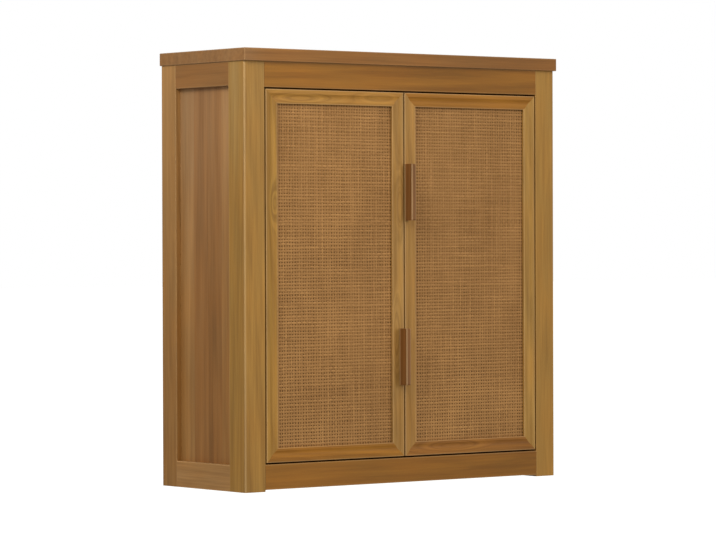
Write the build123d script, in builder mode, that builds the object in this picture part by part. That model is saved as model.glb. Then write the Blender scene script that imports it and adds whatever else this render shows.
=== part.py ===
from build123d import *
import math
import os

# Bathroom wall cabinet with two inset doors of woven rattan in mitred frames.
# All sizes are millimetres. X runs to the right, Y from the front to the wall, and Z up.
# The origin is on the wall plane, midway between the two wall screws.

# Overall sizes
height = 686.0
top_width = 635.0
top_depth = 228.6
top_thickness = 20.0
side_overhang = 2.5
front_overhang = 5.0

# Posts and rails of the case
post_width = 39.0
front_post_depth = 41.0
rear_post_depth = 40.0
rail_thickness = 20.0
front_top_rail_height = 40.0
front_bottom_rail_height = 39.0
front_rail_lift = 3.0
side_top_rail_height = 37.5
side_bottom_rail_height = 41.0
post_round = 2.8
rail_round = 1.0
top_round = 1.2

# Side panels, held in grooves
side_panel_thickness = 8.0
side_panel_recess = 9.0
groove_depth = 6.0
groove_play = 0.2

# Back, floor and shelves
back_panel_thickness = 5.0
back_rail_thickness = 15.0
hanging_rail_height = 60.0
lower_back_rail_height = 50.0
bottom_board_thickness = 15.0
shelf_thickness = 15.0
shelf_setback = 8.0
shelf_heights = (238.0, 438.0)
board_play = 0.3
cleat_height = 19.0

# Wall screw holes in the hanging rail
wall_hole_spacing = 406.4
wall_hole_radius = 3.0

# Dowels
dowel_radius = 4.0
dowel_length = 30.0
dowel_edge = 12.0
dowel_play = 0.1

# Shelf pins
pin_radius = 2.5
pin_in = 9.0
pin_out = 8.0
pin_collar_radius = 4.0
pin_collar_thickness = 1.2
pin_pitch = 32.0
pin_end_play = 2.0

# Doors
door_gap = 2.5
frame_width = 22.6
frame_thickness = 6.0
frame_flat = 6.5
frame_cove = 11.5
frame_cove_depth = 1.9
frame_drop = 0.8
frame_round = 1.0
sheet_thickness = 1.2
sheet_play = 0.3
sheet_cover = 4.0

# Bar pulls
pull_length = 90.0
pull_width = 9.0
pull_projection = 18.0
pull_round = 2.2
pull_offset = 131.0
pull_screw_spacing = 64.0
pull_screw_bite = 12.0

# Concealed hinges
hinge_end_distance = 80.0
cup_radius = 17.5
cup_depth = 11.2
cup_wall = 0.8
cup_edge = 5.0
cup_cover = 2.8
cup_play = 0.15
flange_thickness = 1.0
flange_rim = 1.5
flange_width = 14.0
flange_length = 56.0
cup_screw_side = 9.5
cup_screw_spacing = 45.0
link_thickness = 2.8
link_half_width = 4.5
link_start_angle = 2.0
cheek_thickness = 1.5
hinge_play = 0.6
cheek_play = 0.3
arm_height = 10.0
arm_length = 50.0
arm_web = 1.8
plate_thickness = 3.0
plate_length = 29.0
plate_half_height = 8.0
wing_length = 14.0
wing_half_height = 22.0
plate_screw_spacing = 32.0
hinge_strip_depth = 45.0

# Magnetic catches behind the top rail
catch_block_width = 120.0
catch_block_depth = 24.0
catch_offset = 32.0
catch_width = 36.0
catch_height = 14.0
catch_depth = 16.0
magnet_width = 26.0
magnet_height = 8.0
magnet_depth = 8.0
magnet_play = 0.1
strike_width = 34.0
strike_height = 12.0
strike_thickness = 1.2
strike_edge = 1.0
catch_play = 0.3
catch_screw_side = 13.0

# Screws
screw_radius = 1.75
screw_head_radius = 3.4
screw_head_angle = 90.0
screw_play = 0.05
thin_screw_radius = 1.5
thin_screw_head_radius = 2.6
pull_screw_radius = 2.0
pull_screw_head_radius = 4.0
top_screw_bite = 12.0
floor_screw_bite = 9.0
plate_screw_bite = 14.0
cup_screw_bite = 9.0
catch_screw_bite = 8.0
strike_screw_bite = 8.0

# Sides of the case, as distances from the middle
half_body = top_width / 2 - side_overhang
post_inner_x = half_body - post_width
rail_inner_x = half_body - rail_thickness
panel_outer_x = half_body - side_panel_recess
panel_inner_x = panel_outer_x - side_panel_thickness
side_rail_middle_x = half_body - rail_thickness / 2

# Depths
front_y = front_overhang - top_depth
front_post_back_y = front_y + front_post_depth
front_rail_back_y = front_y + rail_thickness
rear_post_front_y = -rear_post_depth
back_panel_back_y = -back_rail_thickness
back_panel_front_y = back_panel_back_y - back_panel_thickness
hinge_strip_back_y = front_post_back_y + hinge_strip_depth

# Heights
top_under_z = hanging_rail_height / 2
top_z = top_under_z + top_thickness
foot_z = top_z - height
front_rail_under_z = foot_z + front_rail_lift
opening_low_z = front_rail_under_z + front_bottom_rail_height
opening_high_z = top_under_z - front_top_rail_height
floor_under_z = opening_low_z - bottom_board_thickness
side_opening_low_z = foot_z + side_bottom_rail_height
side_opening_high_z = top_under_z - side_top_rail_height
panel_tongue = groove_depth - groove_play

# Doors: places and thicknesses
backing_thickness = cup_depth + cup_cover
door_thickness = frame_thickness + backing_thickness
door_back_y = front_y + door_thickness
frame_back_y = front_y + frame_thickness
door_outer_x = post_inner_x - door_gap
door_inner_x = door_gap / 2
door_low_z = opening_low_z + door_gap
door_high_z = opening_high_z - door_gap
door_middle_z = (door_low_z + door_high_z) / 2
rebate_depth = sheet_thickness + sheet_play
rebate_width = sheet_cover + sheet_play
shelf_front_y = door_back_y + shelf_setback

# Hinges: the axis of each door runs up the middle of its outer gap, in the front plane.
# In a hinge's own plane, u runs from the axis towards the door's middle and v towards the wall.
hinge_axis_x = post_inner_x - door_gap / 2
hinge_heights = (door_low_z + hinge_end_distance, door_high_z - hinge_end_distance)
post_face_u = -door_gap / 2
cup_middle_u = door_gap / 2 + cup_edge + cup_radius
cup_bore_radius = cup_radius - cup_wall
arm_half_width = link_half_width + cheek_play + cheek_thickness
mouth_v = door_thickness + flange_thickness
rim_u = cup_middle_u - math.sqrt(cup_bore_radius**2 - arm_half_width**2)
link_inner_radius = math.hypot(rim_u, mouth_v) + hinge_play
link_outer_radius = link_inner_radius + link_thickness
cup_floor_v = door_thickness - cup_depth + cup_wall
link_end_angle = math.degrees(math.acos((cup_floor_v + hinge_play) / link_inner_radius))
arm_low_u = post_face_u + plate_thickness
arm_high_u = arm_low_u + arm_height
arm_back_v = link_outer_radius + arm_length
plate_front_v = arm_back_v - plate_length
plate_middle_v = arm_back_v - plate_length / 2

# Pins and catches
pin_rows = [foot_z + rise - pin_radius for rise in shelf_heights]
front_pin_y = (front_post_back_y + hinge_strip_back_y) / 2
rear_pin_y = (rear_post_front_y + back_panel_front_y) / 2
catch_front_y = door_back_y + strike_thickness + catch_play
catch_low_z = opening_high_z - catch_height
catch_middle_z = opening_high_z - catch_height / 2
catch_screw_y = catch_front_y + (magnet_depth + catch_depth) / 2
strike_middle_z = door_high_z - strike_edge - strike_height / 2

SIDES = {"left": -1, "right": 1}


def save(piece, name):
    """Labels one finished piece and writes its file."""
    piece.part.label = name
    export_step(piece.part, f"parts/{name}.step")


def block(x, y, z, mode=Mode.ADD):
    """Adds or cuts the box between two values on each axis."""
    middle = Vector(*[(low + high) / 2 for low, high in (x, y, z)])
    with Locations(middle):
        Box(*[abs(high - low) for low, high in (x, y, z)], mode=mode)


def rod(start, direction, radius, length, mode=Mode.ADD):
    """Adds or cuts a cylinder that leaves a point in one direction."""
    with Locations(Plane(origin=start, z_dir=direction)):
        Cylinder(radius, length, align=(Align.CENTER, Align.CENTER, Align.MIN), mode=mode)


def screw(head, direction, length, radius, head_radius):
    """Adds a countersunk screw whose flat head lies at a point."""
    sink = (head_radius - radius) / math.tan(math.radians(screw_head_angle / 2))
    rod(head, direction, radius, length)
    with Locations(Plane(origin=head, z_dir=direction)):
        Cone(head_radius, radius, sink, align=(Align.CENTER, Align.CENTER, Align.MIN))


def pilot(head, direction, length, radius):
    """Cuts the plain hole of a screw, a little deeper than its tip."""
    rod(head, direction, radius + screw_play, length + screw_play, Mode.SUBTRACT)


def screw_hole(head, direction, length, radius, head_radius):
    """Cuts the countersunk hole of the screw that has the same sizes."""
    opposite = [-step for step in direction]
    with Locations(Plane(origin=head, z_dir=opposite)):
        CounterSinkHole(radius + screw_play, head_radius + screw_play, length, screw_head_angle)


def dowel_pairs(x, y, low, high, direction):
    """The middles of two dowels at a rail's end, each with its direction."""
    return [((x, y, z), direction) for z in (low + dowel_edge, high - dowel_edge)]


def dowel_holes(pairs):
    """Cuts the holes for some dowels in the piece at hand."""
    for middle, direction in pairs:
        with Locations(Plane(origin=middle, z_dir=direction)):
            Cylinder(
                dowel_radius + dowel_play, dowel_length + 2 * dowel_play, mode=Mode.SUBTRACT
            )


def side_panel_groove(side, y):
    """Cuts the groove that holds a side panel's upright edge."""
    block(
        (side * (panel_inner_x - groove_play), side * (panel_outer_x + groove_play)),
        y,
        (side_opening_low_z - groove_depth, side_opening_high_z + groove_depth),
        Mode.SUBTRACT,
    )


# Dowels, by the joint that they hold
front_rail_spans = {
    "top": (opening_high_z, top_under_z),
    "bottom": (front_rail_under_z, opening_low_z),
}
side_rail_spans = {
    "top": (side_opening_high_z, top_under_z),
    "bottom": (foot_z, side_opening_low_z),
}
back_rail_spans = {
    "top": (-hanging_rail_height / 2, top_under_z),
    "bottom": (front_rail_under_z, front_rail_under_z + lower_back_rail_height),
}
front_dowels = {
    (side, level): dowel_pairs(
        sign * post_inner_x, front_y + rail_thickness / 2, *span, (sign, 0, 0)
    )
    for side, sign in SIDES.items()
    for level, span in front_rail_spans.items()
}
back_dowels = {
    (side, level): dowel_pairs(
        sign * post_inner_x, -back_rail_thickness / 2, *span, (sign, 0, 0)
    )
    for side, sign in SIDES.items()
    for level, span in back_rail_spans.items()
}
side_dowels = {
    (side, end, level): dowel_pairs(sign * side_rail_middle_x, y, *span, (0, 1, 0))
    for side, sign in SIDES.items()
    for end, y in (("front", front_post_back_y), ("rear", rear_post_front_y))
    for level, span in side_rail_spans.items()
}

# Screws that hold the top and the floor, by their heads
top_cleat_y = (hinge_strip_back_y, rear_post_front_y)
floor_cleat_y = (front_post_back_y, rear_post_front_y)


def cleat_screws(sign, y_range, high_z, bite):
    """A cleat's two screws, a quarter of its length from each end: head, direction, length."""
    low, high = y_range
    x = sign * (post_inner_x + rail_inner_x) / 2
    return [
        ((x, low + share * (high - low), high_z - cleat_height), (0, 0, 1), cleat_height + bite)
        for share in (0.25, 0.75)
    ]


top_screws = {
    sign: cleat_screws(sign, top_cleat_y, top_under_z, top_screw_bite)
    for sign in SIDES.values()
}
floor_screws = {
    sign: cleat_screws(sign, floor_cleat_y, floor_under_z, floor_screw_bite)
    for sign in SIDES.values()
}


def make_top_board():
    with BuildPart() as board:
        block((-top_width / 2, top_width / 2), (-top_depth, 0), (top_under_z, top_z))
        fillet(board.edges().filter_by(lambda edge: edge.center().Y < -top_round), top_round)
        for head, direction, length in top_screws[-1] + top_screws[1]:
            pilot(head, direction, length, screw_radius)
    save(board, "top_board")


def make_bottom_board():
    half_width = rail_inner_x - board_play
    notch_x = post_inner_x - board_play
    board_z = (floor_under_z, opening_low_z)
    with BuildPart() as board:
        block((-half_width, half_width), (front_rail_back_y, back_panel_front_y), board_z)
        for sign in SIDES.values():
            notch = (sign * notch_x, sign * (half_width + board_play))
            front_notch = (front_rail_back_y, front_post_back_y + board_play)
            rear_notch = (rear_post_front_y - board_play, back_panel_front_y)
            block(notch, front_notch, board_z, Mode.SUBTRACT)
            block(notch, rear_notch, board_z, Mode.SUBTRACT)
        for head, direction, length in floor_screws[-1] + floor_screws[1]:
            pilot(head, direction, length, screw_radius)
    save(board, "bottom_board")


def make_front_post(side, sign):
    with BuildPart() as post:
        block(
            (sign * post_inner_x, sign * half_body),
            (front_y, front_post_back_y),
            (foot_z, top_under_z),
        )
        corner = post.edges().filter_by(Axis.Z).group_by(Axis.Y)[0]
        fillet(corner.sort_by(Axis.X)[-1 if sign > 0 else 0], post_round)
        fillet(post.edges().filter_by(Axis.Z).sort_by_distance((0, front_y, 0))[0], rail_round)
        side_panel_groove(sign, (front_post_back_y - groove_depth, front_post_back_y))
        for level in ("top", "bottom"):
            dowel_holes(front_dowels[side, level] + side_dowels[side, "front", level])
    save(post, f"front_post_{side}")


def make_rear_post(side, sign):
    with BuildPart() as post:
        block(
            (sign * post_inner_x, sign * half_body),
            (rear_post_front_y, 0),
            (foot_z, top_under_z),
        )
        for place, radius in ((0, rail_round), (-1, post_round)):
            outer_edges = post.edges().filter_by(Axis.Z).sort_by(Axis.X)[::sign][-2:]
            fillet(outer_edges.sort_by(Axis.Y)[place], radius)
        side_panel_groove(sign, (rear_post_front_y, rear_post_front_y + groove_depth))
        block(
            (sign * post_inner_x, sign * (post_inner_x + groove_depth)),
            (back_panel_front_y - groove_play, back_panel_back_y + groove_play),
            (front_rail_under_z, top_under_z),
            Mode.SUBTRACT,
        )
        for level in ("top", "bottom"):
            dowel_holes(back_dowels[side, level] + side_dowels[side, "rear", level])
        pin_holes(sign, rear_pin_y)
    save(post, f"rear_post_{side}")


def pin_holes(sign, y):
    """Cuts the holes for the shelf pins, three for each shelf."""
    for row in pin_rows:
        for step in (-pin_pitch, 0, pin_pitch):
            start = (sign * post_inner_x, y, row + step)
            rod(start, (sign, 0, 0), pin_radius + dowel_play, pin_in + dowel_play, Mode.SUBTRACT)


def make_side_rail(side, sign, level):
    low, high = side_rail_spans[level]
    with BuildPart() as rail:
        block(
            (sign * rail_inner_x, sign * half_body),
            (front_post_back_y, rear_post_front_y),
            (low, high),
        )
        outer_edges = rail.edges().filter_by(Axis.Y).group_by(Axis.X)[-1 if sign > 0 else 0]
        panel_edge = outer_edges.sort_by(Axis.Z)[0 if level == "top" else -1]
        fillet(panel_edge, rail_round)
        groove_z = (low, low + groove_depth) if level == "top" else (high - groove_depth, high)
        block(
            (sign * (panel_inner_x - groove_play), sign * (panel_outer_x + groove_play)),
            (front_post_back_y, rear_post_front_y),
            groove_z,
            Mode.SUBTRACT,
        )
        dowel_holes(side_dowels[side, "front", level] + side_dowels[side, "rear", level])
    save(rail, f"side_{level}_rail_{side}")


def make_side_panel(side, sign):
    with BuildPart() as panel:
        block(
            (sign * panel_inner_x, sign * panel_outer_x),
            (front_post_back_y - panel_tongue, rear_post_front_y + panel_tongue),
            (side_opening_low_z - panel_tongue, side_opening_high_z + panel_tongue),
        )
    save(panel, f"side_panel_{side}")


def make_front_rail(level):
    with BuildPart() as rail:
        block((-post_inner_x, post_inner_x), (front_y, front_rail_back_y), front_rail_spans[level])
        front_edges = rail.edges().filter_by(Axis.X).group_by(Axis.Y)[0]
        fillet(front_edges.sort_by(Axis.Z)[0 if level == "top" else -1], rail_round)
        dowel_holes(front_dowels["left", level] + front_dowels["right", level])
    save(rail, f"front_{level}_rail")


def make_back_rail(level, name):
    with BuildPart() as rail:
        block((-post_inner_x, post_inner_x), (-back_rail_thickness, 0), back_rail_spans[level])
        dowel_holes(back_dowels["left", level] + back_dowels["right", level])
        if level == "top":
            wall_holes()
    save(rail, name)


def wall_holes():
    """Cuts the two holes for the wall screws."""
    for sign in SIDES.values():
        start = (sign * wall_hole_spacing / 2, back_panel_front_y, 0)
        length = back_rail_thickness + back_panel_thickness
        rod(start, (0, 1, 0), wall_hole_radius, length, Mode.SUBTRACT)


def make_back_panel():
    half_width = post_inner_x + groove_depth - groove_play
    with BuildPart() as panel:
        block(
            (-half_width, half_width),
            (back_panel_front_y, back_panel_back_y),
            (front_rail_under_z + groove_play, top_under_z - groove_play),
        )
        wall_holes()
    save(panel, "back_panel")


def make_hinge_strip(side, sign):
    with BuildPart() as strip:
        block(
            (sign * post_inner_x, sign * rail_inner_x),
            (front_post_back_y, hinge_strip_back_y),
            (opening_low_z, top_under_z),
        )
        pin_holes(sign, front_pin_y)
        for head, direction in plate_screw_heads(sign):
            pilot(head, direction, plate_thickness + plate_screw_bite, screw_radius)
    save(strip, f"hinge_strip_{side}")


def make_cleat(side, sign, name, y_range, high_z, screws):
    with BuildPart() as cleat:
        block(
            (sign * post_inner_x, sign * rail_inner_x),
            y_range,
            (high_z - cleat_height, high_z),
        )
        for head, direction, length in screws:
            screw_hole(head, direction, length, screw_radius, screw_head_radius)
    save(cleat, f"{name}_cleat_{side}")


def make_cleat_screws():
    with BuildPart() as screws:
        for side_screws in (*top_screws.values(), *floor_screws.values()):
            for head, direction, length in side_screws:
                screw(head, direction, length, screw_radius, screw_head_radius)
    save(screws, "cleat_screws")


def make_dowels():
    with BuildPart() as dowels:
        for joints in (front_dowels, back_dowels, side_dowels):
            for pairs in joints.values():
                for middle, direction in pairs:
                    with Locations(Plane(origin=middle, z_dir=direction)):
                        Cylinder(dowel_radius, dowel_length)
    save(dowels, "dowels")


def make_shelf(name, rise):
    half_width = post_inner_x - pin_end_play
    with BuildPart() as shelf:
        block(
            (-half_width, half_width),
            (shelf_front_y, back_panel_front_y - board_play),
            (foot_z + rise, foot_z + rise + shelf_thickness),
        )
        fillet(shelf.faces().sort_by(Axis.Y)[0].edges().filter_by(Axis.X), rail_round)
    save(shelf, name)


def make_shelf_pins():
    with BuildPart() as pins:
        for row in pin_rows:
            for sign in SIDES.values():
                for y in (front_pin_y, rear_pin_y):
                    inner_end = (sign * (post_inner_x - pin_out), y, row)
                    rod(inner_end, (sign, 0, 0), pin_radius, pin_out + pin_in)
                    collar = (sign * post_inner_x, y, row)
                    rod(collar, (-sign, 0, 0), pin_collar_radius, pin_collar_thickness)
    save(pins, "shelf_pins")


def hinge_plane(sign, z):
    """The plane across a hinge at its axis: its X is u and its Y is v."""
    return Plane(
        origin=(sign * hinge_axis_x, front_y, z), x_dir=(-sign, 0, 0), z_dir=(0, 0, -sign)
    )


def hinge_point(sign, z, u, v):
    return (sign * (hinge_axis_x - u), front_y + v, z)


def arc_band():
    """The band between the link's two radii. Its angles run from v towards u."""
    start, sweep = 90 - link_end_angle, link_end_angle - link_start_angle
    with BuildSketch() as band:
        with BuildLine():
            outer = CenterArc((0, 0), link_outer_radius, start, sweep)
            inner = CenterArc((0, 0), link_inner_radius, start, sweep)
            Line(outer @ 0, inner @ 0)
            Line(outer @ 1, inner @ 1)
        make_face()
    return band.sketch


def make_hinge_links(side, sign):
    with BuildPart() as links:
        for z in hinge_heights:
            with BuildSketch(hinge_plane(sign, z)):
                add(arc_band())
            extrude(amount=link_half_width, both=True)
    save(links, f"hinge_links_{side}")


def make_hinge_arms():
    body_length = arm_back_v - link_inner_radius
    body_middle_u = (arm_low_u + arm_high_u) / 2
    with BuildPart() as arms:
        for sign in SIDES.values():
            for z in hinge_heights:
                with BuildSketch(hinge_plane(sign, z)):
                    add(arc_band())
                    with Locations((body_middle_u, arm_back_v)):
                        Rectangle(arm_height, body_length, align=(Align.CENTER, Align.MAX))
                    with Locations((0, 0)):
                        Circle(link_inner_radius, mode=Mode.SUBTRACT)
                extrude(amount=arm_half_width, both=True)
                slot_half_width = arm_half_width - cheek_thickness
                with BuildSketch(hinge_plane(sign, z)):
                    Circle(link_outer_radius + hinge_play)
                    with Locations((arm_high_u - arm_web, arm_back_v)):
                        Rectangle(2 * arm_height, body_length, align=(Align.MAX, Align.MAX))
                extrude(amount=slot_half_width, both=True, mode=Mode.SUBTRACT)
    save(arms, "hinge_arms")


def plate_screw_heads(sign):
    """The heads of one side's plate screws, each with its direction."""
    return [
        (hinge_point(sign, z + step, arm_low_u, plate_middle_v), (sign, 0, 0))
        for z in hinge_heights
        for step in (-plate_screw_spacing / 2, plate_screw_spacing / 2)
    ]


def make_hinge_plates():
    with BuildPart() as plates:
        for sign in SIDES.values():
            x = (sign * (hinge_axis_x - post_face_u), sign * (hinge_axis_x - arm_low_u))
            body_y = (front_y + plate_front_v, front_y + arm_back_v)
            wing_y = (
                front_y + plate_middle_v - wing_length / 2,
                front_y + plate_middle_v + wing_length / 2,
            )
            for z in hinge_heights:
                block(x, body_y, (z - plate_half_height, z + plate_half_height))
                block(x, wing_y, (z - wing_half_height, z + wing_half_height))
            for head, direction in plate_screw_heads(sign):
                screw_hole(head, direction, plate_thickness, screw_radius, screw_head_radius)
    save(plates, "hinge_plates")


def make_hinge_plate_screws():
    with BuildPart() as screws:
        for sign in SIDES.values():
            for head, direction in plate_screw_heads(sign):
                length = plate_thickness + plate_screw_bite
                screw(head, direction, length, screw_radius, screw_head_radius)
    save(screws, "hinge_plate_screws")


def catch_screw_heads():
    return [
        (sign * catch_offset + step, catch_screw_y, catch_low_z)
        for sign in SIDES.values()
        for step in (-catch_screw_side, catch_screw_side)
    ]


def make_catch_block():
    with BuildPart() as wood:
        block(
            (-catch_block_width / 2, catch_block_width / 2),
            (front_rail_back_y, front_rail_back_y + catch_block_depth),
            (opening_high_z, top_under_z),
        )
        for head in catch_screw_heads():
            pilot(head, (0, 0, 1), catch_height + catch_screw_bite, thin_screw_radius)
    save(wood, "catch_block")


def magnet_block(sign, play, mode=Mode.ADD):
    """Adds a magnet, or cuts its pocket, in the front of a catch."""
    half_width = magnet_width / 2 + play
    half_height = magnet_height / 2 + play
    middle_x = sign * catch_offset
    block(
        (middle_x - half_width, middle_x + half_width),
        (catch_front_y, catch_front_y + magnet_depth + play),
        (catch_middle_z - half_height, catch_middle_z + half_height),
        mode,
    )


def make_catches():
    with BuildPart() as catches:
        for sign in SIDES.values():
            middle_x = sign * catch_offset
            block(
                (middle_x - catch_width / 2, middle_x + catch_width / 2),
                (catch_front_y, catch_front_y + catch_depth),
                (catch_low_z, opening_high_z),
            )
            magnet_block(sign, magnet_play, Mode.SUBTRACT)
        for head in catch_screw_heads():
            screw_hole(head, (0, 0, 1), catch_height, thin_screw_radius, thin_screw_head_radius)
    save(catches, "catch_bodies")

    with BuildPart() as magnets:
        for sign in SIDES.values():
            magnet_block(sign, 0)
    save(magnets, "catch_magnets")

    with BuildPart() as screws:
        length = catch_height + catch_screw_bite
        for head in catch_screw_heads():
            screw(head, (0, 0, 1), length, thin_screw_radius, thin_screw_head_radius)
    save(screws, "catch_screws")


def make_moulding(name, start, end, inward, screw_heads=()):
    """A frame side from corner to corner, with mitred ends.

    Its section runs inwards from the door's edge: a flat, a shallow cove, and a lip over the
    edge of the rattan.
    """
    along = (end - start).normalized()
    plane = Plane(origin=start, x_dir=inward, z_dir=along)
    back = plane.y_dir.Y
    cove_start = (frame_flat, 0)
    cove_middle = (frame_flat + frame_cove / 2, back * frame_cove_depth)
    cove_end = (frame_flat + frame_cove, back * frame_drop)
    rebate_z = frame_thickness - rebate_depth
    back_outline = [
        (frame_width, frame_drop),
        (frame_width, rebate_z),
        (frame_width - rebate_width, rebate_z),
        (frame_width - rebate_width, frame_thickness),
        (0, frame_thickness),
        (0, 0),
    ]
    with BuildPart() as moulding:
        with BuildSketch(plane) as profile:
            with BuildLine():
                ThreePointArc(cove_start, cove_middle, cove_end)
                Polyline(cove_end, *[(u, back * depth) for u, depth in back_outline], cove_start)
            make_face()
            for corner in ((0, 0), (frame_width, back * frame_drop)):
                fillet(profile.vertices().sort_by_distance(corner)[0], frame_round)
        extrude(amount=(end - start).length)
        split(bisect_by=Plane(origin=start, z_dir=along - inward), keep=Keep.TOP)
        split(bisect_by=Plane(origin=end, z_dir=-along - inward), keep=Keep.TOP)
        for head, direction in screw_heads:
            pilot(head, direction, door_thickness, pull_screw_radius)
    save(moulding, name)


def pull_screw_heads(sign):
    """The heads of a pull's two screws on the back of its door, each with its direction."""
    x = sign * (door_inner_x + pull_width / 2)
    middle_z = door_middle_z + sign * pull_offset
    return [
        ((x, door_back_y, middle_z + step), (0, -1, 0))
        for step in (-pull_screw_spacing / 2, pull_screw_spacing / 2)
    ]


def cup_plane(sign, z):
    """The door's back at a hinge cup: its X runs to the door's middle, its Z into the door."""
    origin = hinge_point(sign, z, cup_middle_u, door_thickness)
    return Plane(origin=origin, x_dir=(-sign, 0, 0), z_dir=(0, -1, 0))


def cup_screw_heads(sign):
    """The heads of one door's cup screws, each with its direction."""
    return [
        (hinge_point(sign, z + step, cup_middle_u + cup_screw_side, mouth_v), (0, -1, 0))
        for z in hinge_heights
        for step in (-cup_screw_spacing / 2, cup_screw_spacing / 2)
    ]


def strike_screw_head(sign):
    return (sign * catch_offset, door_back_y + strike_thickness, strike_middle_z)


def make_door(side, sign):
    outer = sign * door_outer_x
    inner = sign * door_inner_x
    to_middle = Vector(-sign, 0, 0)
    low_outer = Vector(outer, front_y, door_low_z)
    high_outer = Vector(outer, front_y, door_high_z)
    low_inner = Vector(inner, front_y, door_low_z)
    high_inner = Vector(inner, front_y, door_high_z)
    up = Vector(0, 0, 1)
    make_moulding(f"door_{side}_outer_stile", low_outer, high_outer, to_middle)
    pull_screws = pull_screw_heads(sign)
    make_moulding(f"door_{side}_inner_stile", low_inner, high_inner, -to_middle, pull_screws)
    make_moulding(f"door_{side}_top_rail", high_outer, high_inner, -up)
    make_moulding(f"door_{side}_bottom_rail", low_outer, low_inner, up)

    sheet_margin = frame_width - sheet_cover
    with BuildPart() as sheet:
        block(
            (outer - sign * sheet_margin, inner + sign * sheet_margin),
            (frame_back_y - sheet_thickness, frame_back_y),
            (door_low_z + sheet_margin, door_high_z - sheet_margin),
        )
    save(sheet, f"door_{side}_rattan_sheet")

    with BuildPart() as backing:
        block((outer, inner), (frame_back_y, door_back_y), (door_low_z, door_high_z))
        for z in hinge_heights:
            plane = cup_plane(sign, z)
            rod(plane.origin, plane.z_dir, cup_radius + cup_play, cup_depth, Mode.SUBTRACT)
        cup_screw_reach = flange_thickness + cup_screw_bite + screw_play
        for head, direction in cup_screw_heads(sign):
            screw_hole(head, direction, cup_screw_reach, screw_radius, screw_head_radius)
        for head, direction in pull_screws:
            screw_hole(
                head, direction, backing_thickness, pull_screw_radius, pull_screw_head_radius
            )
        strike_reach = strike_thickness + strike_screw_bite
        pilot(strike_screw_head(sign), (0, -1, 0), strike_reach, thin_screw_radius)
    save(backing, f"door_{side}_backing_board")

    make_pull(side, sign)
    make_cups(side, sign)
    make_strike(side, sign)


def make_pull(side, sign):
    middle_z = door_middle_z + sign * pull_offset
    with BuildPart() as pull:
        block(
            (sign * door_inner_x, sign * (door_inner_x + pull_width)),
            (front_y - pull_projection, front_y),
            (middle_z - pull_length / 2, middle_z + pull_length / 2),
        )
        fillet(pull.faces().sort_by(Axis.Y)[0].edges(), pull_round)
        for head, direction in pull_screw_heads(sign):
            pilot(head, direction, door_thickness + pull_screw_bite, pull_screw_radius)
    save(pull, f"door_{side}_pull")

    with BuildPart() as screws:
        for head, direction in pull_screw_heads(sign):
            length = door_thickness + pull_screw_bite
            screw(head, direction, length, pull_screw_radius, pull_screw_head_radius)
    save(screws, f"door_{side}_pull_screws")


def make_cups(side, sign):
    base = (Align.CENTER, Align.CENTER, Align.MIN)
    with BuildPart() as cups:
        for z in hinge_heights:
            plane = cup_plane(sign, z)
            with Locations(plane):
                Cylinder(cup_radius, cup_depth, align=base)
            with Locations(plane.offset(-flange_thickness)):
                Cylinder(cup_radius + flange_rim, flange_thickness, align=base)
                with Locations((cup_screw_side, 0, 0)):
                    Box(flange_width, flange_length, flange_thickness, align=base)
                cavity_depth = flange_thickness + cup_depth - cup_wall
                Cylinder(cup_bore_radius, cavity_depth, align=base, mode=Mode.SUBTRACT)
        for head, direction in cup_screw_heads(sign):
            screw_hole(head, direction, flange_thickness, screw_radius, screw_head_radius)
    save(cups, f"door_{side}_hinge_cups")

    with BuildPart() as screws:
        for head, direction in cup_screw_heads(sign):
            length = flange_thickness + cup_screw_bite
            screw(head, direction, length, screw_radius, screw_head_radius)
    save(screws, f"door_{side}_cup_screws")


def make_strike(side, sign):
    middle_x = sign * catch_offset
    head = strike_screw_head(sign)
    with BuildPart() as strike:
        block(
            (middle_x - strike_width / 2, middle_x + strike_width / 2),
            (door_back_y, door_back_y + strike_thickness),
            (strike_middle_z - strike_height / 2, strike_middle_z + strike_height / 2),
        )
        screw_hole(
            head, (0, -1, 0), strike_thickness, thin_screw_radius, thin_screw_head_radius
        )
        length = strike_thickness + strike_screw_bite
        screw(head, (0, -1, 0), length, thin_screw_radius, thin_screw_head_radius)
    save(strike, f"door_{side}_strike")


os.makedirs("parts", exist_ok=True)
make_top_board()
make_bottom_board()
make_back_panel()
make_back_rail("top", "hanging_rail")
make_back_rail("bottom", "lower_back_rail")
make_catch_block()
make_catches()
make_cleat_screws()
make_dowels()
make_shelf_pins()
make_hinge_arms()
make_hinge_plates()
make_hinge_plate_screws()
for level in ("top", "bottom"):
    make_front_rail(level)
for name, rise in zip(("lower_shelf", "upper_shelf"), shelf_heights):
    make_shelf(name, rise)
for side, sign in SIDES.items():
    make_front_post(side, sign)
    make_rear_post(side, sign)
    make_side_panel(side, sign)
    make_hinge_strip(side, sign)
    make_cleat(side, sign, "top", top_cleat_y, top_under_z, top_screws[sign])
    make_cleat(side, sign, "floor", floor_cleat_y, floor_under_z, floor_screws[sign])
    make_hinge_links(side, sign)
    make_door(side, sign)
    for level in ("top", "bottom"):
        make_side_rail(side, sign, level)
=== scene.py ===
import math

import bpy
import numpy as np
from mathutils import Matrix, Vector


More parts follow.
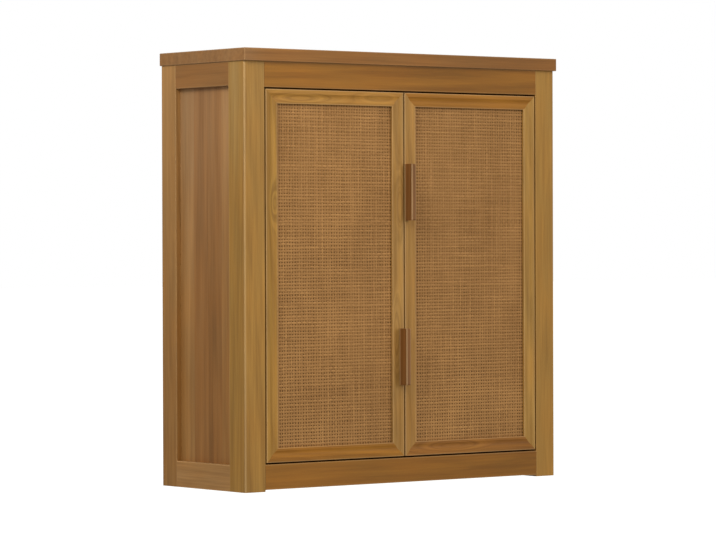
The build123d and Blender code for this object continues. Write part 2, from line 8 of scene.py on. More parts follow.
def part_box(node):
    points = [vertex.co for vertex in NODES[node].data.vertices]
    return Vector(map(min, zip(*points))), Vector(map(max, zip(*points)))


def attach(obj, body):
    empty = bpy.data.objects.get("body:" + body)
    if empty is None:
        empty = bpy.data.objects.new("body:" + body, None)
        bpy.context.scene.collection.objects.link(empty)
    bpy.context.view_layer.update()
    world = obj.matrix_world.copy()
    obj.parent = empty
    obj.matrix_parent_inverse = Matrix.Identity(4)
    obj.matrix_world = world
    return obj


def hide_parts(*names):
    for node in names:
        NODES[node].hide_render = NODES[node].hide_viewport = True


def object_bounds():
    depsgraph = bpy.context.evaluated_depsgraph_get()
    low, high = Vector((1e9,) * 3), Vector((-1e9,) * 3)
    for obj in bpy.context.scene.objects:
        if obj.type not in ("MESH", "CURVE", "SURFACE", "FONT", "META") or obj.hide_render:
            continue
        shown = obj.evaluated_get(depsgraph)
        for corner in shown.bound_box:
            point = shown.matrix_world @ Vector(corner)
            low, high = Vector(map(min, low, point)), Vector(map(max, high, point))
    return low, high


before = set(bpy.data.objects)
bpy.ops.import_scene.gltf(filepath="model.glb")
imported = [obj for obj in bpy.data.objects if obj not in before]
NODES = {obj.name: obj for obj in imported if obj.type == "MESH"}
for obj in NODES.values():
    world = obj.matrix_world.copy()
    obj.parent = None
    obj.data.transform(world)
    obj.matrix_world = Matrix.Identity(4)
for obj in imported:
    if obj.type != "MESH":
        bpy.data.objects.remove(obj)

CAD_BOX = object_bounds()
MM = 0.001
CASE_SIDE, CASE_FRONT = 315.0, -223.6  # outer faces of the posts in the row frame, in millimetres

# Camera, fitted to the edges of the photograph
CAMERA_AT = (-3.526, -4.6306, -0.2435)
CAMERA_YAW, CAMERA_PITCH, CAMERA_ROLL = 37.91, -0.52, -0.175  # degrees
CAMERA_LENS, CAMERA_SENSOR = 178.1, 36.0  # mm

# Surroundings
AMBIENT = 0.66
FLOOR_DROP = 0.35  # the cabinet hangs above the floor
FLOOR_REACH = 40.0
FLOOR_GLOW = 0.45  # to the camera alone

# Woven rattan, in millimetres
PITCH = 5.1  # of the strands both ways
STRAND_WIDTH = 3.6
STRAND_THICK = 0.3
STRAND_LIFT = 0.15  # how far a strand rises and dips where it crosses another
WEAVE_MIDDLE = 0.9  # the weave's middle plane, from the back of the sheet
WIDTH_SHARES = (0.84, 1.1)  # of the strand's width, least and most
DRIFT = 0.3  # of a strand off its even place
SWAY = (0.05, 0.3)  # of a strand about its line, least and most
SWAY_TURNS = (0.008, 0.03)  # in a millimetre, fewest and most
# A strand's outline: share of its width across, share of its thickness out of the sheet
OUTLINE = ((-0.5, -0.5), (0.5, -0.5), (0.38, 0.5), (-0.38, 0.5))

# Stained wood, as sRGB bytes
POST_FRONT = (161, 117, 50)
POST_SIDE = (160, 113, 56)
SIDE_RAILS = {"top": (143, 97, 48), "bottom": (164, 119, 66)}
RAIL = (145, 94, 26)
SLAB = (142, 94, 41)
PANEL = (154, 108, 57)
FRAMES = {
    "left": {
        "outer_stile": (162, 118, 49),
        "inner_stile": (164, 121, 60),
        "top_rail": (163, 115, 47),
        "bottom_rail": (151, 98, 25),
    },
    "right": {
        "outer_stile": (162, 120, 56),
        "inner_stile": (161, 117, 56),
        "top_rail": (153, 100, 28),
        "bottom_rail": (143, 92, 32),
    },
}
# Painted shade: the backing board is made darker than the wood so that the holes of the weave look
# shadowed
SHADED_BACKING = (128, 88, 40)
INNER = (160, 122, 76)
BACK_PANEL = (172, 134, 86)
PULL = (126, 82, 40)
DOWEL = (204, 170, 124)
EDGE_HIGHLIGHT = (226, 190, 140)  # painted highlight on edges and corners, where rounded wood catches the light
CANE = (164, 118, 65)

BROAD_SHARE = 0.35  # how strongly the broadest pattern shows
RING_WANDER = 22.0  # mm, of the year rings across the piece
EDGE_FULL = 0.2  # mm from an edge, where its painted highlight is full
CORNER_REACH = (3.6, 0.9)  # mm from a highlit corner, where its painted highlight starts and where it is full
CORNER_LIGHT = 0.26

# How far a tone reaches down and up, as shares of its red, green and blue
WOOD_REACH = (0.26, 0.286, 0.338)
CANE_REACH = (0.24, 0.27, 0.32)

# The drift of the wood's hue, and the painted sheen of some places, as factors of the colour
WARM, COOL = (1.04, 0.99, 0.9, 1.0), (0.96, 1.01, 1.1, 1.0)
SHEEN_TINT = (1.0, 1.07, 1.35, 1.0)

# The side panels are glued up from upright planks
PLANK_START, PLANK_WIDTH = -40.0, 37.0
PLANKS = ((1.13, 1.16, 1.14), (0.99, 0.91, 0.77), (0.95, 0.87, 0.71), (1.03, 1.0, 0.85))
PLANK_SHIFT = (431.0, 23.0)  # of the figure from plank to plank, along and through the grain

# Grain that bends round a knot: place along and across, reach along and across, strength
SWIRLS = {
    "door_left_outer_stile": ((112.0, 6.0, 26.0, 8.0, 20.0),),
    "door_left_inner_stile": ((-96.0, -3.0, 46.0, 8.0, 30.0), (110.0, 5.0, 40.0, 8.0, -24.0)),
    "door_left_top_rail": ((-70.0, -2.0, 52.0, 8.0, 26.0), (90.0, 3.0, 40.0, 9.0, -30.0)),
    "door_right_bottom_rail": ((-40.0, 2.0, 60.0, 9.0, 26.0),),
}

# Soft spots in the row frame: axes across and along, place, size, lean and strength
PANEL_MARKS = (
    ("yz", (-112.0, -300.0), (7.0, 190.0), -0.02, -0.3),
    ("yz", (-134.0, -420.0), (8.0, 70.0), 0.06, -0.4),
    ("yz", (-150.0, -470.0), (7.0, 90.0), 0.03, -0.35),
    ("yz", (-124.0, -560.0), (10.0, 45.0), -0.04, -0.35),
    ("yz", (-60.0, -330.0), (5.0, 260.0), 0.0, 0.2),
    ("yz", (-160.0, -90.0), (14.0, 110.0), 0.0, 0.2),
)
# Painted shade: the front rails and the top board darken to the right, where less light falls
RAIL_SHADE = (("zx", (10.0, 190.0), (900.0, 190.0), 0.0, -0.32),)
# The stiles of the two doors differ towards their ends
STILE_MARKS = {
    "left": (("xz", (-150.0, 20.0), (300.0, 150.0), 0.0, -0.56),),
    "right": (
        ("xz", (10.0, -20.0), (80.0, 150.0), 0.0, 0.34),
        ("xz", (262.0, -20.0), (80.0, 150.0), 0.0, 0.18),
        ("xz", (262.0, -600.0), (80.0, 220.0), 0.0, 0.37),
    ),
}
# The left front post darkens on its front towards both ends. Painted light and shade: the rear posts
# are lighter at the top and darker towards the foot
POST_MARKS = (
    ("yz", (CASE_FRONT, 40.0), (6.0, 170.0), 0.0, -0.3),
    ("yz", (CASE_FRONT, -620.0), (6.0, 200.0), 0.0, -0.28),
)
REAR_LIGHT_AND_SHADE = (
    ("yz", (-20.0, 40.0), (400.0, 260.0), 0.0, 0.2),
    ("yz", (-20.0, -640.0), (400.0, 220.0), 0.0, -0.25),
)
# Painted sheen: the sides grow paler and bluer towards the top, where light glances off them, and so
# does the left end of the top board. A spot that is listed twice acts twice
POST_SHEEN = (
    ("yz", (CASE_FRONT, 40.0), (8.0, 170.0), 0.0, 0.5),
    ("yz", (-198.0, 20.0), (17.0, 190.0), 0.0, 1.0),
    ("yz", (-198.0, 20.0), (17.0, 190.0), 0.0, 1.0),
)
SIDE_SHEEN = (("yz", (-120.0, 20.0), (400.0, 300.0), 0.0, 0.9),)
END_SHEEN = (("yx", (-120.0, -317.0), (400.0, 30.0), 0.0, 1.0),)


def linear(red, green, blue):
    """A colour given as sRGB bytes, as linear RGBA."""
    channels = [c / 255 for c in (red, green, blue)]
    return (*[c / 12.92 if c <= 0.04045 else ((c + 0.055) / 1.055) ** 2.4 for c in channels], 1.0)


def tone_range(tone, reach):
    """The darkest and the lightest colour about a tone, as linear RGBA."""
    channels = linear(*tone)[:3]
    dark = [c * (1 - share) for c, share in zip(channels, reach)]
    light = [c * (1 + share) for c, share in zip(channels, reach)]
    return (*dark, 1.0), (*light, 1.0)


class Graph:
    """A material's node tree, written as nested calls."""

    def __init__(self, name):
        self.material = bpy.data.materials.new(name)
        self.material.use_nodes = True
        self.tree = self.material.node_tree
        self.tree.nodes.clear()

    def node(self, kind, inputs=(), **settings):
        made = self.tree.nodes.new(kind)
        for key, value in settings.items():
            setattr(made, key, value)
        for key, value in dict(inputs).items():
            if isinstance(value, bpy.types.NodeSocket):
                self.tree.links.new(value, made.inputs[key])
            elif value is not None:
                made.inputs[key].default_value = value
        return made

    def math(self, operation, *values, clamp=False):
        made = self.node("ShaderNodeMath", enumerate(values), operation=operation, use_clamp=clamp)
        return made.outputs[0]

    def sum(self, first, *others):
        for other in others:
            first = self.math("ADD", first, other)
        return first

    def hill(self, u, v):
        """1 where both are nothing, falling off smoothly all round."""
        far = self.sum(self.math("MULTIPLY", u, u), self.math("MULTIPLY", v, v))
        return self.math("EXPONENT", self.math("MULTIPLY", far, -1.0))

    def vector(self, operation, *values):
        made = self.node("ShaderNodeVectorMath", enumerate(values), operation=operation)
        return made.outputs[0]

    def split(self, vector):
        return self.node("ShaderNodeSeparateXYZ", {0: vector}).outputs

    def join(self, x, y, z):
        return self.node("ShaderNodeCombineXYZ", {0: x, 1: y, 2: z}).outputs[0]

    def noise(self, vector, scale=1.0, detail=2.0, roughness=0.5):
        made = self.node(
            "ShaderNodeTexNoise",
            {"Vector": vector, "Scale": scale, "Detail": detail, "Roughness": roughness},
        )
        return made.outputs[0]

    def noise_line(self, value, scale=1.0, detail=2.0, roughness=0.5):
        made = self.node(
            "ShaderNodeTexNoise",
            {"W": value, "Scale": scale, "Detail": detail, "Roughness": roughness},
            noise_dimensions="1D",
        )
        return made.outputs[0]

    def stir(self, level, noise, share, clamp=False):
        """A level moved up and down by a noise, which lies about a half."""
        return self.math("MULTIPLY_ADD", self.math("SUBTRACT", noise, 0.5), share, level, clamp=clamp)

    def remap(self, value, low, high, to_low=0.0, to_high=1.0, smooth=False):
        made = self.node(
            "ShaderNodeMapRange",
            {0: value, 1: low, 2: high, 3: to_low, 4: to_high},
            interpolation_type="SMOOTHSTEP" if smooth else "LINEAR",
        )
        return made.outputs[0]

    def mix(self, share, first, second, blend="MIX"):
        made = self.node("ShaderNodeMix", data_type="RGBA", blend_type=blend)
        for key, value in ((0, share), (6, first), (7, second)):
            if isinstance(value, bpy.types.NodeSocket):
                self.tree.links.new(value, made.inputs[key])
            else:
                made.inputs[key].default_value = value
        return made.outputs[2]

    def place(self):
        """The point in the row frame, in millimetres."""
        point = self.node("ShaderNodeTexCoord").outputs["Object"]
        return self.vector("MULTIPLY", point, (1 / MM,) * 3)

    def bump(self, height, strength, depth):
        made = self.node(
            "ShaderNodeBump", {"Height": height, "Strength": strength, "Distance": depth}
        )
        return made.outputs[0]

    def finish(self, **inputs):
        """The surface: one principled shader. An underscore in a name stands for a space."""
        named = {key.replace("_", " "): value for key, value in inputs.items()}
        shader = self.node("ShaderNodeBsdfPrincipled", named)
        self.node("ShaderNodeOutputMaterial", {0: shader.outputs[0]})
        return self.material


# Wood


def spot(g, place, axes, at, size, lean, strength):
    """A soft spot at a place in the row frame. Its axes run across and along the grain."""
    across, along = [g.split(place)["xyz".index(axis)] for axis in axes]
    dl = g.math("SUBTRACT", along, at[1])
    da = g.math("MULTIPLY_ADD", dl, -lean, g.math("SUBTRACT", across, at[0]))
    hill = g.hill(g.math("DIVIDE", da, size[0]), g.math("DIVIDE", dl, size[1]))
    return g.math("MULTIPLY", hill, strength)


def ring_radius(g, across, through, along, wander, pith, tilt, swirls):
    """Distance from the middle of the tree, which leans. The grain bends round each knot."""
    a = g.math("MULTIPLY_ADD", along, tilt[0], g.sum(across, wander, pith[0]))
    b = g.math("MULTIPLY_ADD", along, tilt[1], g.sum(through, pith[1]))
    for at_along, at_across, long, wide, strength in swirls:
        da = g.math("DIVIDE", g.math("SUBTRACT", across, at_across), wide)
        dl = g.math("DIVIDE", g.math("SUBTRACT", along, at_along), long)
        b = g.math("MULTIPLY_ADD", g.hill(da, dl), strength, b)
    return g.math("SQRT", g.sum(g.math("MULTIPLY", a, a), g.math("MULTIPLY", b, b)))


def plank_colours(g, colour, index):
    """A shade of its own for each plank."""
    count = len(PLANKS)
    ramp = g.node("ShaderNodeValToRGB", {0: g.math("DIVIDE", g.sum(index, 0.5), count)})
    ramp.color_ramp.interpolation = "CONSTANT"
    stops = ramp.color_ramp.elements
    while len(stops) < count:
        stops.new(0.5)
    for k, (stop, shade) in enumerate(zip(stops, PLANKS)):
        stop.position = k / count
        stop.color = (*shade, 1.0)
    return g.mix(1.0, colour, ramp.outputs[0], "MULTIPLY")


def highlit_edges(g, colour, local, half, axes, light, width):
    """Painted highlight on the edges of a box, between the faces that look along the given axes."""
    beyond = g.split(g.vector("SUBTRACT", g.vector("ABSOLUTE", local), tuple(half)))
    near = [beyond["XYZ".index(axis)] for axis in axes]
    if len(near) == 2:
        from_edge = g.math("MINIMUM", *near)
    else:
        most = g.math("MAXIMUM", g.math("MAXIMUM", near[0], near[1]), near[2])
        least = g.math("MINIMUM", g.math("MINIMUM", near[0], near[1]), near[2])
        from_edge = g.math("SUBTRACT", g.math("SUBTRACT", g.sum(*near), most), least)
    highlit = g.remap(from_edge, -width, -EDGE_FULL, 0.0, light, smooth=True)
    return g.mix(highlit, colour, linear(*EDGE_HIGHLIGHT))


def highlit_corner(g, colour, place, corner):
    """A painted highlight on an upright corner. corner is its place as x and y."""
    offset = g.vector("ABSOLUTE", g.vector("SUBTRACT", place, (*corner, 0.0)))
    dx, dy, _ = g.split(offset)
    corner_share = g.remap(g.math("MAXIMUM", dx, dy), *CORNER_REACH, 0.0, CORNER_LIGHT, smooth=True)
    return g.mix(corner_share, colour, linear(*EDGE_HIGHLIGHT))


def wood(
    name,
    node,
    grain,
    tone,
    pith=(30.0, 60.0),
    tilt=(0.02, 0.03),
    ring=0.16,
    ring_share=0.5,
    streak_share=0.5,
    fibre_share=0.4,
    hue_share=0.7,
    swirls=(),
    marks=(),
    pale=(),
    planks=False,
    edge_axes="",
    edge_light=0.16,
    edge_width=2.2,
    corner=None,
    shine=0.5,
    seed=0,
):
    """Stained softwood.

    grain is the axis that the fibres run along. pith is the way from the middle of the tree to the
    middle of the piece, across and through the grain, and tilt is how much it changes along it.
    ring is how many year rings there are in a millimetre, and each share how strongly a pattern shows.
    """
    g = Graph(name)
    low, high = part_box(node)
    place = g.place()
    local = g.vector("SUBTRACT", place, tuple((low + high) * (0.5 / MM)))
    x, y, z = g.split(local)
    across, through, along = {"X": (z, y, x), "Y": (x, z, y), "Z": (x, y, z)}[grain]
    if planks:
        back = g.math("SUBTRACT", PLANK_START, g.split(place)[1])
        index = g.math("FLOOR", g.math("DIVIDE", back, PLANK_WIDTH))
        along = g.sum(along, g.math("MULTIPLY", index, PLANK_SHIFT[0]))
        through = g.sum(through, g.math("MULTIPLY", index, PLANK_SHIFT[1]))

    def grains(wide, long, shift, detail, roughness=0.5):
        """Noise drawn out along the grain: wide and long are the sizes of its spots."""
        return g.noise(
            g.join(
                g.math("DIVIDE", across, wide),
                g.math("DIVIDE", through, wide),
                g.math("MULTIPLY_ADD", along, 1 / long, seed * shift),
            ),
            detail=detail,
            roughness=roughness,
        )

    # Pattern
    wander = grains(wide=80.0, long=280.0, shift=7.31, detail=2.0)
    wander = g.math("MULTIPLY", g.math("SUBTRACT", wander, 0.5), RING_WANDER)
    radius = ring_radius(g, across, through, along, wander, pith, tilt, swirls)
    rings = g.remap(g.noise_line(g.sum(radius, seed * 91.7), ring, 3.0, 0.62), 0.3, 0.7)
    streaks = grains(wide=7.0, long=150.0, shift=4.3, detail=2.0)
    fibres = grains(wide=1.8, long=110.0, shift=3.7, detail=4.0, roughness=0.62)
    pores = grains(wide=0.4, long=14.0, shift=1.9, detail=2.0)
    broad = grains(wide=60.0, long=220.0, shift=5.3, detail=1.0)
    level = g.stir(0.5, rings, ring_share)
    level = g.stir(level, streaks, 2.0 * streak_share)
    level = g.stir(level, fibres, 2.0 * fibre_share)
    level = g.stir(level, pores, 0.8 * fibre_share)
    level = g.stir(level, broad, 2.0 * BROAD_SHARE)
    # Spots of figure in the wood; the spots of the front rails, top board and rear posts are painted
    # light and shade
    for mark in marks:
        level = g.sum(level, spot(g, place, *mark))
    level = g.math("ADD", level, 0.0, clamp=True)

    # Colour
    colour = g.mix(level, *tone_range(tone, WOOD_REACH))
    hue = g.remap(grains(wide=24.0, long=90.0, shift=9.1, detail=2.0), 0.3, 0.7)
    colour = g.mix(hue_share, colour, g.mix(hue, WARM, COOL), "MULTIPLY")
    # Painted sheen: paler, bluer wood where light glances off
    for mark in pale:
        colour = g.mix(spot(g, place, *mark), colour, g.mix(1.0, colour, SHEEN_TINT, "MULTIPLY"))
    if planks:
        colour = plank_colours(g, colour, index)
    # Painted highlight on the edges and on an upright corner, where rounded wood catches the light
    if edge_axes:
        half = (high - low) * (0.5 / MM)
        colour = highlit_edges(g, colour, local, half, edge_axes, edge_light, edge_width)
    if corner:
        colour = highlit_corner(g, colour, place, corner)
    height = g.sum(g.math("MULTIPLY", fibres, 0.6), g.math("MULTIPLY", pores, 0.4))
    return g.finish(
        Base_Color=colour,
        Roughness=g.math("MULTIPLY_ADD", pores, 0.16, shine - 0.08),
        Specular_IOR_Level=0.2,
        Normal=g.bump(height, 0.2, 0.0003),
    )


# Other materials


def metal(name, colour, roughness, dirt=0.15, seed=0):
    """Plated steel with fine wear."""
    g = Graph(name)
    place = g.vector("ADD", g.place(), (seed * 13.0, seed * 7.0, seed * 3.0))
    cloud = g.noise(place, 0.35, 3.0, 0.6)
    grit = g.noise(place, 4.0, 2.0)
    shade = g.remap(cloud, 0.3, 0.75, 1.0, 1.0 - dirt)
    tint = g.node("ShaderNodeCombineColor", {0: shade, 1: shade, 2: shade}).outputs[0]
    return g.finish(
        Base_Color=g.mix(1.0, linear(*colour), tint, "MULTIPLY"),
        Metallic=1.0,
        Roughness=g.math("MULTIPLY_ADD", grit, 0.18, roughness - 0.09),
        Normal=g.bump(grit, 0.12, 0.0001),
    )


def plastic(name, colour, roughness):
    """Moulded plastic with a fine grain."""
    g = Graph(name)
    grain = g.noise(g.place(), 3.0, 3.0)
    cloud = g.noise(g.place(), 0.12, 2.0)
    dark, light = [linear(*[c * share for c in colour]) for share in (0.88, 1.1)]
    return g.finish(
        Base_Color=g.mix(cloud, dark, light),
        Roughness=g.math("MULTIPLY_ADD", grain, 0.2, roughness - 0.1),
        Normal=g.bump(grain, 0.3, 0.00015),
    )


def rattan(name, grain, tone):
    """Peeled rattan: a tone for each strand, fine fibres along it."""
    g = Graph(name)
    place = g.place()
    # Spots of noise in a millimetre
    along, across = 0.012, 1 / PITCH
    if grain == "Z":
        stretch, fine = (across, 0.05, along), (2.4, 2.4, 0.06)
    else:
        stretch, fine = (along, 0.05, across), (0.06, 2.4, 2.4)
    strand = g.noise(g.vector("MULTIPLY", place, stretch), 1.0, 2.0, 0.6)
    fibres = g.noise(g.vector("MULTIPLY", place, fine), 1.0, 3.0, 0.6)
    patches = g.noise(g.vector("MULTIPLY", place, (0.014, 0.01, 0.011)), 1.0, 3.0)
    level = g.stir(0.5, strand, 1.9)
    level = g.stir(level, fibres, 0.5)
    level = g.stir(level, patches, 0.9, clamp=True)
    return g.finish(
        Base_Color=g.mix(level, *tone_range(tone, CANE_REACH)),
        Roughness=g.math("MULTIPLY_ADD", fibres, 0.2, 0.5),
        Specular_IOR_Level=0.2,
        Normal=g.bump(fibres, 0.3, 0.0002),
    )


# Materials of the CAD pieces


def dress(node, material):
    """Gives all of a CAD piece one material."""
    mesh = NODES[node].data
    if not mesh.materials:
        mesh.materials.append(material)
    for k in range(len(mesh.materials)):
        NODES[node].material_slots[k].material = material


def dress_wood(node, grain, tone, **looks):
    dress(node, wood(f"wood_{node}", node, grain, tone, **looks))


def dress_case_side(side, k):
    """One side of the case. The left one has the marks that the photograph shows."""
    s = 1 if side == "right" else -1
    shown = side == "left"
    # The posts: painted highlight on their edges and on the front post's outer corner, painted sheen
    # towards the top
    dress_wood(
        f"front_post_{side}", "Z", POST_FRONT, seed=11 + k, pith=(-20.0 * s, 70.0),
        tilt=(0.01, 0.035), ring_share=0.35, edge_axes="XY", edge_light=0.1,
        corner=(CASE_SIDE * s, CASE_FRONT), marks=POST_MARKS if shown else (),
        pale=POST_SHEEN if shown else (),
    )
    dress_wood(
        f"rear_post_{side}", "Z", POST_SIDE, seed=21 + k, pith=(55.0 * s, 20.0),
        tilt=(0.02, 0.015), edge_axes="XY", marks=REAR_LIGHT_AND_SHADE, pale=SIDE_SHEEN,
    )
    for place, seed, figure in (("top", 31, 0.25), ("bottom", 41, 0.7)):
        dress_wood(
            f"side_{place}_rail_{side}", "Y", SIDE_RAILS[place], seed=seed + k,
            pith=(60.0 * s, 15.0), tilt=(0.03, 0.04), edge_axes="XZ",
            ring_share=figure, streak_share=figure,
        )
    dress_wood(
        f"side_panel_{side}", "Z", PANEL, seed=51 + k, pith=(60.0 * s, 90.0), tilt=(0.04, 0.05),
        ring=0.06, ring_share=0.22, streak_share=0.45, fibre_share=0.3,
        marks=PANEL_MARKS if shown else (), pale=SIDE_SHEEN * 2, planks=True,
    )
    for node, grain in (("hinge_strip", "Z"), ("top_cleat", "Y"), ("floor_cleat", "Y")):
        dress_wood(f"{node}_{side}", grain, INNER, seed=121 + k, hue_share=0.4)


def dress_door(side, k):
    door = f"door_{side}_"
    for row, (place, tone) in enumerate(FRAMES[side].items()):
        upright = place.endswith("stile")
        # The frame pieces get a painted highlight on their edges
        dress_wood(
            door + place, "Z" if upright else "X", tone, seed=61 + 10 * row + k,
            pith=(18.0, 50.0), tilt=(0.03, 0.02), ring_share=0.7, edge_light=0.3,
            edge_axes="XY" if upright else "YZ", swirls=SWIRLS.get(door + place, ()),
            marks=STILE_MARKS[side] if upright else (),
        )
    # Painted shade: the dark backing board shows through the holes of the weave
    dress_wood(door + "backing_board", "Z", SHADED_BACKING, seed=101 + k, pith=(10.0, 200.0), ring=0.1)
    # The pull gets a painted highlight on its edges
    dress_wood(
        door + "pull", "Z", PULL, seed=111 + k, pith=(12.0, 20.0), edge_axes="XY",
        edge_light=0.45, edge_width=2.6, shine=0.42,
    )


def dress_case_front():
    for node, seed in (("front_top_rail", 131), ("front_bottom_rail", 132)):
        dress_wood(
            node, "X", RAIL, seed=seed, pith=(-25.0, 60.0), ring_share=0.35, edge_axes="YZ",
            marks=RAIL_SHADE,
        )
    dress_wood(
        "top_board", "X", SLAB, seed=141, pith=(70.0, 160.0), tilt=(0.01, 0.04), ring=0.08,
        ring_share=0.3, edge_axes="XYZ", edge_light=0.12, marks=RAIL_SHADE, pale=END_SHEEN * 2,
    )


def dress_inside():
    for node, seed in (("bottom_board", 151), ("lower_shelf", 152), ("upper_shelf", 153)):
        dress_wood(node, "X", INNER, seed=seed, pith=(80.0, 30.0), ring=0.14, hue_share=0.4)
    for node, seed in (("hanging_rail", 161), ("lower_back_rail", 162), ("catch_block", 163)):
        dress_wood(node, "X", INNER, seed=seed, hue_share=0.4)
    dress_wood(
        "back_panel", "Z", BACK_PANEL, seed=171, pith=(20.0, 160.0), ring=0.09, hue_share=0.3
    )
    dress_wood("dowels", "X", DOWEL, seed=181)


def dress_fittings():
    nickel = metal("nickel_plate", (206, 205, 200), 0.24, seed=1)
    zinc = metal("zinc_plate", (188, 188, 184), 0.36, seed=2)
    screw_zinc = metal("screw_zinc", (198, 196, 188), 0.3, seed=3)
    for node in NODES:
        if node.startswith(("hinge_arms", "hinge_links", "hinge_plates")):
            dress(node, nickel)
        elif node.endswith("hinge_cups") or node == "shelf_pins":
            dress(node, nickel)
        elif node.endswith("strike"):
            dress(node, zinc)
        elif node.endswith("screws"):
            dress(node, screw_zinc)
    dress("catch_magnets", metal("magnet_steel", (118, 118, 120), 0.45, dirt=0.3, seed=4))
    dress("catch_bodies", plastic("catch_plastic", (84, 58, 36), 0.5))


for k, side in enumerate(("left", "right")):
    dress_case_side(side, k)
    dress_door(side, k)
dress_case_front()
dress_inside()
dress_fittings()

# Woven rattan


def even_places(start, end):
    """Middles of strands, spread evenly at about the pitch."""
    count = int((end - start) / PITCH)
    gap = (end - start) / count
    return [start + gap * (k + 0.5) for k in range(count)]


def weave(name, node, seed):
    """Plain weave of separate strands in the place of a sheet node."""
    low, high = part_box(node)
    columns = even_places(low.x / MM, high.x / MM)
    rows = even_places(low.z / MM, high.z / MM)
    draw = np.random.RandomState(seed)
    points, faces, kinds = [], [], []

    def strand(at, stations, over, upright):
        """One strand, which goes over the strands at some of the stations and under the rest."""
        base = len(points)
        width = STRAND_WIDTH * draw.uniform(*WIDTH_SHARES)
        drift = draw.uniform(-DRIFT, DRIFT)
        sway = draw.uniform(*SWAY)
        turns, phase = draw.uniform(*SWAY_TURNS), draw.uniform(0, math.tau)
        run = []
        for k, station in enumerate(stations):
            run.append((station, 1.0 if over[k] else -1.0))
            if k + 1 < len(stations):
                run.append(((station + stations[k + 1]) / 2, 0.0))
        first, last = 2 * run[0][0] - run[1][0], 2 * run[-1][0] - run[-2][0]
        run = [(first, 0.0)] + run + [(last, 0.0)]
        for station, lift in run:
            middle = at + drift + sway * math.sin(turns * station * math.tau + phase)
            for across, out in OUTLINE:
                edge = middle + across * width
                x, z = (edge, station) if upright else (station, edge)
                depth = WEAVE_MIDDLE + lift * STRAND_LIFT + out * STRAND_THICK
                points.append((x * MM, high.y - depth * MM, z * MM))
        n = len(OUTLINE)
        for k in range(len(run) - 1):
            for j in range(n):
                a, b = base + k * n + j, base + k * n + (j + 1) % n
                quad = (a, b, b + n, a + n)
                faces.append(quad if upright else quad[::-1])
        end = base + (len(run) - 1) * n
        for cap, turned in ((range(base, base + n), upright), (range(end, end + n), not upright)):
            faces.append(tuple(cap)[::-1] if turned else tuple(cap))
        kinds.extend([0 if upright else 1] * (n * (len(run) - 1) + 2))

    for i, x in enumerate(columns):
        strand(x, rows, [(i + k) % 2 == 0 for k in range(len(rows))], True)
    for k, z in enumerate(rows):
        strand(z, columns, [(i + k) % 2 == 1 for i in range(len(columns))], False)

    mesh = bpy.data.meshes.new(name)
    mesh.from_pydata(points, [], faces)
    mesh.materials.append(rattan("rattan_upright", "Z", CANE))
    mesh.materials.append(rattan("rattan_crosswise", "X", CANE))
    mesh.polygons.foreach_set("material_index", kinds)
    mesh.polygons.foreach_set("use_smooth", [len(face) == 4 for face in faces])
    mesh.update()
    piece = bpy.data.objects.new(name, mesh)
    bpy.context.scene.collection.objects.link(piece)
    return piece


for side, seed in (("left", 5), ("right", 9)):
    sheet = f"door_{side}_rattan_sheet"
    cane = weave(f"door_{side}_woven_rattan", sheet, seed)
    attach(cane, f"door_{side}")
    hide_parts(sheet)

# Camera, floor, world and lamps


def make_camera():
    yaw, pitch, roll = (math.radians(v) for v in (CAMERA_YAW, CAMERA_PITCH, CAMERA_ROLL))
    level = math.cos(pitch)
    ahead = Vector((math.sin(yaw) * level, math.cos(yaw) * level, math.sin(pitch)))
    right = Vector((math.cos(yaw), -math.sin(yaw), 0.0))
    up = right.cross(ahead)
    right, up = (
        math.cos(roll) * right + math.sin(roll) * up,
        math.cos(roll) * up - math.sin(roll) * right,
    )
    lens = bpy.data.cameras.new("camera")
    lens.lens, lens.sensor_width = CAMERA_LENS, CAMERA_SENSOR
    camera = bpy.data.objects.new("camera", lens)
    rows = [(right[k], up[k], -ahead[k], CAMERA_AT[k]) for k in range(3)]
    camera.matrix_world = Matrix(rows + [(0, 0, 0, 1)])
    bpy.context.scene.collection.objects.link(camera)
    return camera


def pale_floor():
    """Near white to the camera, a mid grey as a source of light from below."""
    g = Graph("pale_floor")
    seen = g.node("ShaderNodeLightPath").outputs["Is Camera Ray"]
    speck = g.noise(g.place(), 0.004, 3.0)
    shown = g.mix(speck, (0.93, 0.93, 0.92, 1.0), (0.97, 0.97, 0.97, 1.0))
    return g.finish(
        Base_Color=g.mix(seen, (0.5, 0.5, 0.49, 1.0), shown),
        Roughness=0.8,
        Specular_IOR_Level=0.0,
        Emission_Color=(1.0, 1.0, 1.0, 1.0),
        Emission_Strength=g.math("MULTIPLY", seen, FLOOR_GLOW),
    )


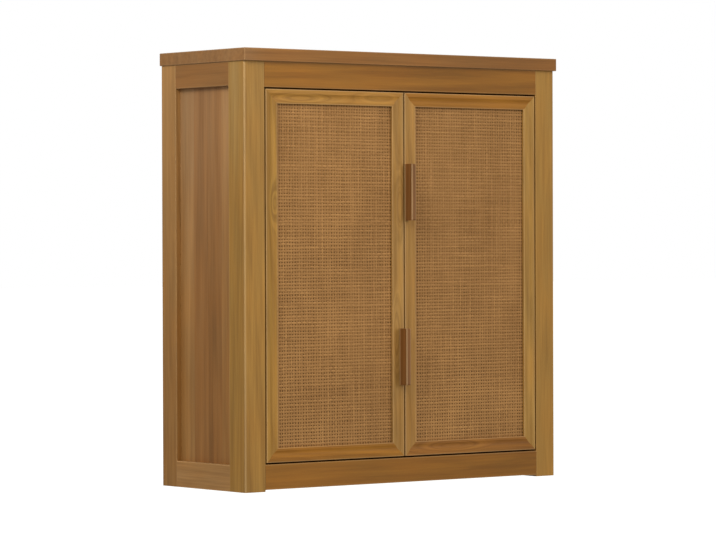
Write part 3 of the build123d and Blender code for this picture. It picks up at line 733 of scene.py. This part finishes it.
def make_floor():
    height = CAD_BOX[0][2] - FLOOR_DROP
    corners = ((-1, -1), (1, -1), (1, 1), (-1, 1))
    mesh = bpy.data.meshes.new("floor")
    mesh.from_pydata(
        [(x * FLOOR_REACH, y * FLOOR_REACH, height) for x, y in corners], [], [(0, 1, 2, 3)]
    )
    mesh.materials.append(pale_floor())
    floor = bpy.data.objects.new("floor", mesh)
    bpy.context.scene.collection.objects.link(floor)
    return floor


def make_world():
    """White to the camera, softer as a light."""
    world = bpy.data.worlds.new("studio")
    world.use_nodes = True
    tree = world.node_tree
    tree.nodes.clear()
    seen = tree.nodes.new("ShaderNodeLightPath").outputs["Is Camera Ray"]
    strength = tree.nodes.new("ShaderNodeMapRange")
    tree.links.new(seen, strength.inputs[0])
    strength.inputs[3].default_value = AMBIENT
    background = tree.nodes.new("ShaderNodeBackground")
    background.inputs[0].default_value = (1, 1, 1, 1)
    tree.links.new(strength.outputs[0], background.inputs[1])
    output = tree.nodes.new("ShaderNodeOutputWorld")
    tree.links.new(background.outputs[0], output.inputs[0])
    return world


def lamp(name, kind, towards, energy, target, angle=None, size=None):
    """A lamp that shines on the target, from where towards points."""
    data = bpy.data.lights.new(name, kind)
    data.energy = energy
    if kind == "SUN":
        data.angle = math.radians(angle)
    else:
        data.shape = "RECTANGLE"
        data.size, data.size_y = size
    made = bpy.data.objects.new(name, data)
    made.location = Vector(target) + Vector(towards)
    made.rotation_euler = Vector(towards).to_track_quat("Z", "Y").to_euler()
    made.visible_camera = False
    bpy.context.scene.collection.objects.link(made)


bpy.context.scene.camera = make_camera()
bpy.context.scene.view_settings.view_transform = "Standard"
make_floor()
bpy.context.scene.world = make_world()
lamp("key_front", "SUN", (0.38, -0.9, 0.15), 0.72, (0.0, -0.1, -0.3), angle=25)
lamp("key_high", "AREA", (0.3, -1.2, 0.75), 3.6, (-0.1, -0.22, 0.0), size=(1.0, 0.6))
lamp("side_high", "AREA", (-0.75, -0.5, 0.5), 6.5, (-0.31, -0.12, 0.0), size=(0.5, 0.4))
